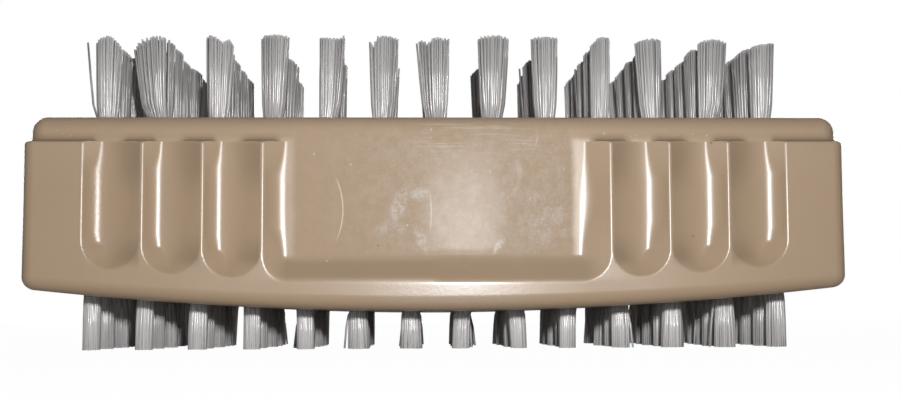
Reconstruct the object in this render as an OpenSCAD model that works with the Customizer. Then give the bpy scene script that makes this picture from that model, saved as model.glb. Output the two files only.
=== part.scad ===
// Double-sided nail brush.
// A one-piece moulded block carries five rows of long tufts on top and five rows of short ones below.
// Origin: middle of the footprint, in the plane of the trimmed lower tips. +X is the length and +Z is up.

/* [Handle block] */
// Length of the block
block_l = 95; // [88:0.5:104]
// Width of the block
block_w = 44; // [41:0.5:50]
// Height of the block at the middle of its length
block_h = 22.7; // [20.5:0.1:25]
// Rise of the domed underside from its middle to its ends
belly_rise = 2.7; // [1.8:0.1:3.4]
// Radius of the upright corners
corner_r = 1.5; // [1:0.1:2.4]
// Radius of the long lower edges
belly_edge_r = 1.8; // [1.5:0.1:2.4]
// Radius of the lower edges at the ends
end_edge_r = 1.8; // [1:0.1:2.5]
// Radius of the edge below the lip
step_edge_r = 0.5; // [0.3:0.05:0.8]

/* [Lip] */
// Height of the lip around the upper face
lip_h = 3.1; // [2.6:0.1:3.6]
// Distance from the ends of the block in to the lip
lip_end_setback = 0.65; // [0.5:0.05:0.9]
// Distance from the long sides of the block in to the lip
lip_side_setback = 0.9; // [0.7:0.05:0.95]
// Radius of the lip's upright corners
lip_corner_r = 1.8; // [1.2:0.1:2.4]
// Radius of the lip's upper edge
lip_edge_r = 1.8; // [1.2:0.1:2]

/* [Finger grips] */
// Number of flutes on each side of the recess
flutes = 3; // [2:1:3]
// Width of one flute
flute_w = 6.55; // [5.5:0.05:7.2]
// Depth of a flute and of the recess
grip_depth = 1.1; // [1:0.05:1.4]
// Width of the ridge between two flutes
ridge_w = 0.3; // [0.2:0.05:0.6]
// Width of the recess in the middle of each side
recess_w = 40.2; // [34:0.2:42]
// Height of the block left below the grips
grip_rim = 3.1; // [2.8:0.1:4.2]
// Height of the slope on which the grips run out to the lip
grip_runout = 1.6; // [1:0.1:3]

/* [Tufts] */
// Number of tufts in an upper row
upper_columns = 13; // [11:1:14]
// Number of tufts in a lower row
lower_columns = 14; // [12:1:14]
// Distance from the end of the block to the first upper tuft
upper_margin = 7.5; // [6.5:0.1:9]
// Distance from the end of the block to the first lower tuft
lower_margin = 6.05; // [5.2:0.05:7]
// Distance from the side of the block to the first row
row_margin = 9.2; // [8:0.1:10]
// Free length of the upper tufts
upper_free = 10.9; // [9:0.1:13]
// Free length of the lower tufts at the middle of the block
lower_free = 4.5; // [3.5:0.1:6]
// Bore of a tuft's hole
bore_d = 2.3; // [2:0.05:2.6]
// Depth of a tuft's hole
bore_depth = 7; // [6:0.1:7.4]
// Clearance of a tuft's root in its hole
root_gap = 0.05; // [0.03:0.01:0.08]

/* [Anchors] */
// Thickness of the flat anchor wire
anchor_t = 0.4; // [0.3:0.05:0.5]
// Height of the anchor wire
anchor_h = 1.5; // [1.2:0.1:1.8]
// Length by which an anchor bites into the wall at each end
anchor_bite = 0.35; // [0.25:0.05:0.5]
// Thickness of the fold below an anchor
fold_t = 0.7; // [0.5:0.05:1]
// Clearance all round an anchor
anchor_gap = 0.04; // [0.02:0.01:0.06]

/* [Hidden] */

// Colours of the three materials
plastic_colour = [0.67, 0.58, 0.49];
nylon_colour = [0.74, 0.74, 0.75];
metal_colour = [0.78, 0.69, 0.45];

// Smoothness of the large curves, the grips and the small rounds
belly_fn = 720;
grip_fn = 96;
round_fn = 48;

// Overrun of the cuts past the surfaces that they open
cut_over = 1;

// Heights of the block's main levels
belly_low = lower_free;
top_z = belly_low + block_h;
step_z = top_z - lip_h;

// Radius of the domed underside, and the reach of its section towards the axis
belly_r = (pow(block_l / 2, 2) + pow(belly_rise, 2)) / (2 * belly_rise);
belly_reach = block_h + belly_rise + cut_over;
belly_sweep = 2 * asin((block_l / 2 + cut_over) / (belly_r - belly_reach));

// Size of the lip in plan
lip_l = block_l - 2 * lip_end_setback;
lip_w = block_w - 2 * lip_side_setback;

// Section radius of the flutes and of the recess's walls, from their width and depth
grip_half = flute_w / 2;
grip_r = (pow(grip_half, 2) + pow(grip_depth, 2)) / (2 * grip_depth);
grip_axis_y = block_w / 2 + grip_r - grip_depth;
flute_pitch = flute_w + ridge_w;
first_flute_x = recess_w / 2 + ridge_w + grip_half;
recess_axis_x = recess_w / 2 - grip_half;

// Tuft layout
rows = 5;
row_pitch = (block_w - 2 * row_margin) / (rows - 1);
upper_pitch = (block_l - 2 * upper_margin) / (upper_columns - 1);
lower_pitch = (block_l - 2 * lower_margin) / (lower_columns - 1);

// A tuft has three strands of four sides, and the places of a strand's corners are
// shares of the radius of the root: the inner corner, the two side corners and the outer one
strands = 3;
strand_radius_shares = [0.12, 0.86, 0.97, 0.86];
strand_turn_shares = [0, -0.4, 0, 0.4];
root_r = bore_d / 2 - root_gap;
root_sink = root_gap * 6;

// Width of a tuft at its tips as a share of its width at the root
upper_splay_share = 1.5;
lower_splay_share = 1.4;

// Unevenness of the upper tips and the lean of the tufts, as shares of the free length and the root radius
tip_ragged_share = 0.13;
lean_share = 0.32;

// Height of the underside above the lower tips at a place along the block
function belly_z(x) = belly_low + belly_r - sqrt(pow(belly_r, 2) - pow(x, 2));

// Place of one tuft along its row, and of one row across the block
function upper_x(column) = (column - (upper_columns - 1) / 2) * upper_pitch;
function lower_x(column) = (column - (lower_columns - 1) / 2) * lower_pitch;
function row_y(row) = (row - (rows - 1) / 2) * row_pitch;

// A fixed scatter from 0 to 1 for a tuft or a strand
function scatter(seed) = rands(0, 1, 1, seed)[0];

// Rectangle with four rounded corners
module rounded_rect(length, width, r) {
    square([length - 2 * r, width], center = true);
    square([length, width - 2 * r], center = true);
    for (x = [-1, 1], y = [-1, 1])
        translate([x * (length / 2 - r), y * (width / 2 - r)])
            circle(r = r, $fn = round_fn);
}

// Upright rectangle with two rounded upper corners
module rounded_top(width, low, high, r) {
    translate([-width / 2, low])
        square([width, high - low - r]);
    translate([r - width / 2, low])
        square([width - 2 * r, high - low]);
    for (side = [-1, 1])
        translate([side * (width / 2 - r), high - r])
            circle(r = r, $fn = round_fn);
}

// Solid whose outline across the block runs along its whole length
module along_length(length) {
    rotate([90, 0, 90])
        linear_extrude(length + 2 * cut_over, center = true)
            children();
}

// Solid whose outline along the block runs across its whole width
module across_width(width) {
    rotate([90, 0, 0])
        linear_extrude(width + 2 * cut_over, center = true)
            children();
}

// Section of the block below the lip, measured out from the axis of the domed underside
module belly_section() {
    translate([belly_r - belly_reach, -block_w / 2])
        square([belly_reach - belly_edge_r, block_w]);
    translate([belly_r - belly_reach, belly_edge_r - block_w / 2])
        square([belly_reach, block_w - 2 * belly_edge_r]);
    for (side = [-1, 1])
        translate([belly_r - belly_edge_r, side * (block_w / 2 - belly_edge_r)])
            circle(r = belly_edge_r, $fn = round_fn);
}

// Block with a domed underside and rounded long lower edges
module domed_bar() {
    translate([0, 0, belly_low + belly_r])
        rotate([90, 0, 0])
            rotate([0, 0, -90 - belly_sweep / 2])
                rotate_extrude(angle = belly_sweep, $fn = belly_fn)
                    belly_section();
}

// Outline of the block below the lip, seen from the side
module side_outline() {
    round_z = belly_z(block_l / 2 - end_edge_r) + end_edge_r;
    rounded_top(block_l, round_z, step_z, step_edge_r);
    translate([end_edge_r - block_l / 2, 0])
        square([block_l - 2 * end_edge_r, round_z]);
    for (side = [-1, 1])
        translate([side * (block_l / 2 - end_edge_r), round_z])
            circle(r = end_edge_r, $fn = round_fn);
}

// Block up to the step
module lower_body() {
    intersection() {
        linear_extrude(step_z)
            rounded_rect(block_l, block_w, corner_r);
        domed_bar();
        along_length(block_l)
            rounded_top(block_w, 0, step_z, step_edge_r);
        across_width(block_w)
            side_outline();
    }
}

// Lip that carries the upper face, with a root in the lower body
module lip() {
    root_z = step_z - lip_h;
    intersection() {
        translate([0, 0, root_z])
            linear_extrude(top_z - root_z)
                rounded_rect(lip_l, lip_w, lip_corner_r);
        along_length(lip_l)
            rounded_top(lip_w, root_z, top_z, lip_edge_r);
        across_width(lip_w)
            rounded_top(lip_l, root_z, top_z, lip_edge_r);
    }
}

// Round-ended groove of the grips, open at the step
module groove(x) {
    end_z = belly_z(x) + grip_rim + grip_half;
    translate([x, -grip_axis_y, end_z]) {
        cylinder(h = step_z - end_z, r = grip_r, $fn = grip_fn);
        sphere(r = grip_r, $fn = grip_fn);
    }
}

// Wide recess between the flutes, with the flutes' own section along its walls
module recess() {
    end_z = belly_z(0) + grip_rim + grip_half;
    for (side = [-1, 1])
        translate([side * recess_axis_x, -grip_axis_y, end_z]) {
            cylinder(h = step_z - end_z, r = grip_r, $fn = grip_fn);
            sphere(r = grip_r, $fn = grip_fn);
        }
    translate([-recess_axis_x, -grip_axis_y, end_z])
        rotate([0, 90, 0])
            cylinder(h = 2 * recess_axis_x, r = grip_r, $fn = grip_fn);
    translate([-recess_axis_x, -grip_axis_y, end_z])
        cube([2 * recess_axis_x, grip_r, step_z - end_z]);
}

// Slope below the lip that the cuts of the grips leave, so that they end flush with the lip
module runout() {
    lip_y = lip_side_setback - block_w / 2;
    deep_y = grip_depth - block_w / 2;
    along_length(block_l)
        polygon([
            [lip_y, step_z + cut_over],
            [lip_y, step_z],
            [deep_y, step_z - grip_runout],
            [deep_y + cut_over, step_z - grip_runout],
            [deep_y + cut_over, step_z + cut_over]
        ]);
}

// Finger grips of the two long sides
module grips() {
    for (turn = [0, 180])
        rotate([0, 0, turn])
            difference() {
                union() {
                    recess();
                    for (side = [-1, 1], flute = [0 : flutes - 1])
                        groove(side * (first_flute_x + flute * flute_pitch));
                }
                runout();
            }
}

// Hole of a tuft with the two bites of its anchor, drilled down from the origin
module tuft_hole() {
    bite_l = bore_d + 2 * (anchor_bite + anchor_gap);
    bite_z = fold_t - anchor_gap - bore_depth;
    translate([0, 0, -bore_depth])
        cylinder(h = bore_depth + cut_over, d = bore_d, $fn = round_fn);
    translate([-bite_l / 2, -anchor_t / 2 - anchor_gap, bite_z])
        cube([bite_l, anchor_t + 2 * anchor_gap, anchor_h + 2 * anchor_gap]);
}

// Anchor wire in the hole that is drilled down from the origin
module anchor() {
    anchor_l = bore_d + 2 * anchor_bite;
    translate([-anchor_l / 2, -anchor_t / 2, fold_t - bore_depth])
        cube([anchor_l, anchor_t, anchor_h]);
}

// Places what belongs to each tuft of an upper row at the mouth of its hole
module upper_places(row) {
    for (column = [0 : upper_columns - 1])
        translate([upper_x(column), row_y(row), top_z])
            children();
}

// The same for a lower row, turned over so that the hole still goes down
module lower_places(row) {
    for (column = [0 : lower_columns - 1])
        translate([lower_x(column), row_y(row), belly_z(lower_x(column))])
            rotate([180, 0, 0])
                children();
}

module handle_block() {
    color(plastic_colour)
        difference() {
            union() {
                lower_body();
                lip();
            }
            grips();
            for (row = [0 : rows - 1]) {
                upper_places(row)
                    tuft_hole();
                lower_places(row)
                    tuft_hole();
            }
        }
}

// Root of a tuft: the folded bundle that fills the hole, with the window that its anchor passes through
module tuft_root() {
    window_t = anchor_t + 2 * anchor_gap;
    window_h = anchor_h + 2 * anchor_gap;
    difference() {
        translate([0, 0, root_gap - bore_depth])
            cylinder(h = bore_depth - root_gap, r = root_r, $fn = round_fn);
        translate([-bore_d / 2, -window_t / 2, fold_t - anchor_gap - bore_depth])
            cube([bore_d, window_t, window_h]);
    }
}

// Corners of one strand's section: each moves away from the axis of the tuft at the tuft's own splay and
// lean, so that the strands of a tuft never meet
function strand_ring(turn, z, free, splay, lean) = [
    for (corner = [0 : len(strand_turn_shares) - 1])
        let (
            along = z / free,
            angle = turn + strand_turn_shares[corner] * 360 / strands,
            r = root_r * strand_radius_shares[corner] * (1 + (splay - 1) * along)
        )
        [r * cos(angle) + lean[0] * along, r * sin(angle) + lean[1] * along, z]
];

// One strand from inside the root to its tip
module strand(turn, tip, free, splay, lean) {
    low = strand_ring(turn, -root_sink, free, splay, lean);
    high = strand_ring(turn, tip, free, splay, lean);
    n = len(low);
    sides = [for (i = [0 : n - 1]) each [
        [i, i + n, (i + 1) % n],
        [(i + 1) % n, i + n, (i + 1) % n + n]
    ]];
    caps = [for (i = [1 : n - 2]) each [
        [0, i, i + 1],
        [n, n + i + 1, n + i]
    ]];
    polyhedron(points = concat(low, high), faces = concat(sides, caps));
}

// One tuft with its root: ragged is the most that a strand falls short of the free length
module tuft(seed, free, splay, ragged) {
    lean_turn = 360 * scatter(seed);
    lean_r = root_r * lean_share * scatter(seed + 1);
    lean = [lean_r * cos(lean_turn), lean_r * sin(lean_turn)];
    first_turn = 360 * scatter(seed + 2);
    tuft_root();
    for (i = [0 : strands - 1])
        strand(first_turn + i * 360 / strands, free - ragged * scatter(seed + 3 + i), free, splay, lean);
}

module upper_tufts(row) {
    color(nylon_colour)
        for (column = [0 : upper_columns - 1])
            translate([upper_x(column), row_y(row), top_z])
                tuft(
                    seed = 100 * row + 7 * column,
                    free = upper_free,
                    splay = upper_splay_share,
                    ragged = upper_free * tip_ragged_share
                );
}

// The lower tips are trimmed flat, in the plane that the brush stands on
module lower_tufts(row) {
    color(nylon_colour)
        for (column = [0 : lower_columns - 1])
            translate([lower_x(column), row_y(row), belly_z(lower_x(column))])
                rotate([180, 0, 0])
                    tuft(
                        seed = 1000 + 100 * row + 7 * column,
                        free = belly_z(lower_x(column)),
                        splay = lower_splay_share,
                        ragged = 0
                    );
}

module upper_anchors(row) {
    color(metal_colour)
        upper_places(row)
            anchor();
}

module lower_anchors(row) {
    color(metal_colour)
        lower_places(row)
            anchor();
}

handle_block();
upper_tufts(0);  // upper_tufts_row_1
upper_tufts(1);  // upper_tufts_row_2
upper_tufts(2);  // upper_tufts_row_3
upper_tufts(3);  // upper_tufts_row_4
upper_tufts(4);  // upper_tufts_row_5
lower_tufts(0);  // lower_tufts_row_1
lower_tufts(1);  // lower_tufts_row_2
lower_tufts(2);  // lower_tufts_row_3
lower_tufts(3);  // lower_tufts_row_4
lower_tufts(4);  // lower_tufts_row_5
upper_anchors(0);  // upper_anchors_row_1
upper_anchors(1);  // upper_anchors_row_2
upper_anchors(2);  // upper_anchors_row_3
upper_anchors(3);  // upper_anchors_row_4
upper_anchors(4);  // upper_anchors_row_5
lower_anchors(0);  // lower_anchors_row_1
lower_anchors(1);  // lower_anchors_row_2
lower_anchors(2);  // lower_anchors_row_3
lower_anchors(3);  // lower_anchors_row_4
lower_anchors(4);  // lower_anchors_row_5
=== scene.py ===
"""Looks of a double-sided nail brush: a glossy moulded block with five rows of long and five rows of short tufts.

Sizes are millimetres and become metres where a mesh is made. +X is the length, -Y the side that the camera
sees, +Z is up, and the brush stands on its trimmed lower tips at z = 0.
"""

import logging
import math
from dataclasses import dataclass, field
from enum import Enum
from typing import Any, Callable, Optional, Sequence, Union

import bpy
import numpy as np
from mathutils import Matrix, Vector
from mathutils.geometry import delaunay_2d_cdt


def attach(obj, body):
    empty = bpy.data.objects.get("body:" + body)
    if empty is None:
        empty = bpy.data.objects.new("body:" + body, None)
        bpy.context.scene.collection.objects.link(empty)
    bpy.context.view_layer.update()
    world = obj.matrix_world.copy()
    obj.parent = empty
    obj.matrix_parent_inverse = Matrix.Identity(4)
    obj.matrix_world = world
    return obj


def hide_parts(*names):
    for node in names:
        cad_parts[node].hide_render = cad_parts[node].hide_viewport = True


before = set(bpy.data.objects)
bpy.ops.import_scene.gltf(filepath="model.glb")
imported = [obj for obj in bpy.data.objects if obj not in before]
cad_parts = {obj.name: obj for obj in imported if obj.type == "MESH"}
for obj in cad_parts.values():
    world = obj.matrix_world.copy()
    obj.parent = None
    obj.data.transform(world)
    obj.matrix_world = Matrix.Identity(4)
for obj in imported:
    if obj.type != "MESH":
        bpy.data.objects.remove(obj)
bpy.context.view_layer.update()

LOG = logging.getLogger("nail_brush")
MM = 0.001
HALVES = (0.5, 1.0)
TINY = 1e-6
WHITE = (1.0, 1.0, 1.0, 1.0)
GLOSSY_SHARE = 0.08  # how much of the white surroundings a glossy ray sees
CUT_STEPS = 7  # places across a tuft where the height of its cut is given
Array = np.ndarray
Pair = tuple[float, float]
Triple = tuple[float, float, float]
Key = Union[str, int]


class Slot(Enum):
    """Names of the record's material slots for the scene's own pieces."""

    HANDLE = "handle_plastic"
    NYLON = "bristle_nylon"


class Mixed(Enum):
    """What a Mix node mixes: its data type, the first of its two inputs, and its output."""

    VECTOR = ("VECTOR", 4, 1)
    COLOUR = ("RGBA", 6, 2)


# ---------------------------------------------------------------- node trees


def operator(operation: str, swapped: bool = False) -> Callable[["Wire", "Value"], "Wire"]:
    """A method for one of Python's operators.

    Args:
        operation: the operation of the Math node that it adds.
        swapped: whether the wire is the second value.

    Returns:
        The method.
    """

    def method(self: "Wire", other: "Value") -> "Wire":
        """Adds the node."""
        return self.tree.maths(operation, *((other, self) if swapped else (self, other)))

    return method


class Wire:
    """An output socket of a node tree. Python's operators on it add Math nodes."""

    __add__ = __radd__ = operator("ADD")
    __sub__, __rsub__ = operator("SUBTRACT"), operator("SUBTRACT", swapped=True)
    __mul__ = __rmul__ = operator("MULTIPLY")
    __truediv__, __rtruediv__ = operator("DIVIDE"), operator("DIVIDE", swapped=True)
    __pow__ = operator("POWER")

    def __init__(self, tree: "Tree", socket: bpy.types.NodeSocket) -> None:
        """Wraps a socket.

        Args:
            tree: the tree that the socket is in.
            socket: the output socket.
        """
        self.tree = tree
        self.socket = socket

    def __getitem__(self, output: Key) -> "Wire":
        """Another output of the same node."""
        return Wire(self.tree, self.socket.node.outputs[output])

    def __abs__(self) -> "Wire":
        """The absolute value."""
        return self.tree.maths("ABSOLUTE", self)


Value = Union[Wire, float]


@dataclass(frozen=True)
class Span:
    """A range of a value. Its mask rises from 0 at start to 1 at full, and falls from 1 at fade to 0 at stop."""

    start: float
    full: float
    fade: float
    stop: float


class Tree:
    """A node tree that is built by calls."""

    def __init__(self, tree: bpy.types.NodeTree) -> None:
        """Wraps a node tree.

        Args:
            tree: the tree to add nodes to.
        """
        self.tree = tree

    def add(
        self,
        kind: str,
        settings: Optional[dict[str, Any]] = None,
        inputs: Optional[dict[Key, Any]] = None,
        output: Key = 0,
    ) -> Wire:
        """Adds one node.

        Args:
            kind: the node's type.
            settings: the node's own properties, set first.
            inputs: values or wires of its input sockets, by name or number.
            output: the output socket to return.

        Returns:
            The chosen output, or an input where the node has no outputs.
        """
        node = self.tree.nodes.new(kind)
        for name, value in (settings or {}).items():
            setattr(node, name, value)
        for name, value in (inputs or {}).items():
            socket = node.inputs[name]
            if isinstance(value, Wire):
                self.tree.links.new(value.socket, socket)
            else:
                socket.default_value = value
        return Wire(self, (node.outputs or node.inputs)[output])

    def maths(self, operation: str, *values: Value) -> Wire:
        """A Math node's result for values in order."""
        return self.add("ShaderNodeMath", {"operation": operation}, dict(enumerate(values)))

    def vector_maths(self, operation: str, *values: Any) -> Wire:
        """A Vector Math node's result for values in order."""
        return self.add("ShaderNodeVectorMath", {"operation": operation}, dict(enumerate(values)))

    def scale(self, vector: Any, factor: Value) -> Wire:
        """A vector or colour times a factor."""
        return self.add("ShaderNodeVectorMath", {"operation": "SCALE"}, {0: vector, "Scale": factor})

    def mix(self, kind: Mixed, share: Value, first: Any, second: Any) -> Wire:
        """A vector or colour between two.

        Args:
            kind: what is mixed.
            share: 0 gives first and 1 gives second.
            first: a wire, or all the numbers of the input.
            second: a wire, or all the numbers of the input.

        Returns:
            The mixture.
        """
        data_type, socket, output = kind.value
        inputs = {0: share, socket: first, socket + 1: second}
        return self.add("ShaderNodeMix", {"data_type": data_type}, inputs, output)

    def smooth(self, value: Value, low: float, high: float) -> Wire:
        """A smooth step from 0 at low to 1 at high, where low may be above high.

        Args:
            value: what is stepped.
            low: where the result is 0.
            high: where the result is 1.

        Returns:
            The step.
        """
        rising = low < high
        ends = {"From Min": min(low, high), "From Max": max(low, high), "To Min": 1.0 - rising, "To Max": 0.0 + rising}
        return self.add("ShaderNodeMapRange", {"interpolation_type": "SMOOTHSTEP"}, {"Value": value, **ends})

    def within(self, value: Value, span: Span) -> Wire:
        """The mask of a range."""
        return self.smooth(value, span.start, span.full) * self.smooth(value, span.stop, span.fade)

    def vector(self, x: Value, y: Value, z: Value) -> Wire:
        """A vector from three numbers."""
        return self.add("ShaderNodeCombineXYZ", inputs={0: x, 1: y, 2: z})

    def parts(self, vector: Wire) -> tuple[Wire, Wire, Wire]:
        """The three numbers of a vector."""
        split = self.add("ShaderNodeSeparateXYZ", inputs={0: vector})
        return split[0], split[1], split[2]

    def white_share(self) -> Wire:
        """How white the surroundings are: 1 for the camera's rays, less for glossy ones, else 0."""
        rays = self.add("ShaderNodeLightPath", output="Is Camera Ray")
        clear = self.maths("MAXIMUM", rays, rays["Is Transmission Ray"])
        return self.maths("MAXIMUM", clear, rays["Is Glossy Ray"] * GLOSSY_SHARE)


@dataclass(frozen=True)
class Grain:
    """A noise: its frequency per millimetre, its octaves, how strong the fine ones are, and its stretch.

    With a step it becomes a mask, which is 0 where the noise has the step's first value and 1 where the second.
    """

    scale: float
    detail: float = 3.0
    roughness: float = 0.55
    stretch: Optional[Triple] = None
    step: Optional[Pair] = None


class Shader(Tree):
    """A material's node tree."""

    def __init__(self, name: str) -> None:
        """Makes an empty material.

        Args:
            name: the material's name.
        """
        self.material = bpy.data.materials.new(name)
        self.material.use_nodes = True
        super().__init__(self.material.node_tree)
        self.tree.nodes.clear()

    def place(self) -> Wire:
        """The place on the object in millimetres."""
        return self.vector_maths("MULTIPLY", self.add("ShaderNodeTexCoord", output="Object"), (1 / MM,) * 3)

    def attribute(self, name: str, output: str = "Fac") -> Wire:
        """An attribute of the mesh."""
        return self.add("ShaderNodeAttribute", {"attribute_name": name}, output=output)

    def noise(self, place: Wire, grain: Grain) -> Wire:
        """Noise from 0 to 1.

        Args:
            place: where it is read, in millimetres.
            grain: what it is like.

        Returns:
            The noise, or its mask.
        """
        if grain.stretch:
            place = self.vector_maths("MULTIPLY", place, grain.stretch)
        inputs = {"Vector": place, "Scale": grain.scale, "Detail": grain.detail, "Roughness": grain.roughness}
        noise = self.add("ShaderNodeTexNoise", inputs=inputs)
        return self.smooth(noise, *grain.step) if grain.step else noise

    def cover(self, share: Value, colour: Wire, paint: Triple) -> Wire:
        """A colour partly covered by a paint."""
        return self.mix(Mixed.COLOUR, share, colour, (*paint, 1.0))

    def bump(self, height: Wire, distance: float) -> Wire:
        """The normal of a relief whose depth is given in millimetres."""
        return self.add("ShaderNodeBump", inputs={"Height": height, "Distance": distance * MM})

    def principled(self, colour: Wire, roughness: Value, normal: Wire, **more: Value) -> Wire:
        """A Principled shader.

        Args:
            colour: its base colour.
            roughness: its roughness.
            normal: its normal.
            more: other inputs, with underscores for the spaces in their names.

        Returns:
            The shader.
        """
        inputs = {"Base Color": colour, "Roughness": roughness, "Normal": normal}
        inputs.update({name.replace("_", " "): value for name, value in more.items()})
        return self.add("ShaderNodeBsdfPrincipled", inputs=inputs)

    def finish(self, surface: Wire) -> bpy.types.Material:
        """The finished material, with a surface joined to its output."""
        self.add("ShaderNodeOutputMaterial", inputs={"Surface": surface})
        return self.material


# ---------------------------------------------------------------- finishes


@dataclass(frozen=True)
class Site:
    """What the masks of the plastic read: the place, two noises, the sides and a slow sway, as wires."""

    s: Shader
    x: Wire
    z: Wire
    fine: Wire
    speck: Wire
    side: Wire
    front: Wire
    sway: Wire


@dataclass(frozen=True)
class Strip:
    """A strip along both long sides: its heights, how far from its middle its mask is 0 and 1, and its sway."""

    z: Span
    x: Pair
    middle: float = 0.0
    sway: float = 0.0

    def mask(self, at: Site) -> Wire:
        """Mask of the strip.

        Args:
            at: what masks read.

        Returns:
            The mask.
        """
        away = abs(at.x - self.middle)
        if self.sway:
            away = away + at.sway * self.sway
        return at.s.within(at.z, self.z) * at.s.smooth(away, *self.x) * at.side


@dataclass(frozen=True)
class Arc:
    """A thin pale curved line on a long side: a piece of a circle in x and z."""

    x: float
    z: float
    radius: float
    low: float
    high: float
    width: float
    strength: float
    core: float = 0.3
    taper: float = 2.0

    def mask(self, at: Site) -> Wire:
        """Mask of the line.

        Args:
            at: what masks read.

        Returns:
            The mask.
        """
        s, x, z = at.s, at.x - self.x, at.z - self.z
        reach = s.maths("SQRT", x * x + z * z)
        line = s.smooth(abs(reach - self.radius), self.width, self.width * self.core)
        ends = s.within(at.z, Span(self.low, self.low + self.taper, self.high - self.taper, self.high))
        return line * s.maths("GREATER_THAN", at.x, self.x) * ends * self.strength


@dataclass(frozen=True)
class Smudge:
    """A smoky scuff on a long side, an oval that leans."""

    x: float
    z: float
    across: float
    tall: float
    lean: float
    strength: float
    core: float = 0.05

    def mask(self, at: Site) -> Wire:
        """Mask of the scuff.

        Args:
            at: what masks read.

        Returns:
            The mask.
        """
        across = (at.x - self.x - (at.z - self.z) * self.lean) / self.across
        tall = (at.z - self.z) / self.tall
        return at.s.smooth(across * across + tall * tall, 1.0, self.core) * self.strength


@dataclass(frozen=True)
class PaintedLampReflection:
    """The painted reflection of the key lamp in the middle of the front recess: a pale spot with an uneven, bowed
    edge.
    """

    middle: float = 2.9
    half: float = 4.4
    soft: float = 1.3
    low: Pair = (11.2, 11.9)
    high: Pair = (24.5, 17.5)
    fine_edge: float = 1.4
    speck_edge: float = 2.6
    low_share: float = 0.2
    bow_z: float = 15.5
    bow: float = 0.016

    def mask(self, at: Site) -> Wire:
        """Mask of the painted reflection.

        Args:
            at: what masks read.

        Returns:
            The mask.
        """
        edge = (at.fine - 0.5) * self.fine_edge + (at.speck - 0.5) * self.speck_edge
        from_bow = at.z - self.bow_z
        away = abs(at.x - self.middle) + edge + from_bow * from_bow * self.bow
        across = at.s.smooth(away, self.half + self.soft, self.half - self.soft) * at.front
        return across * at.s.smooth(at.z + edge * self.low_share, *self.low) * at.s.smooth(at.z + edge, *self.high)


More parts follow.
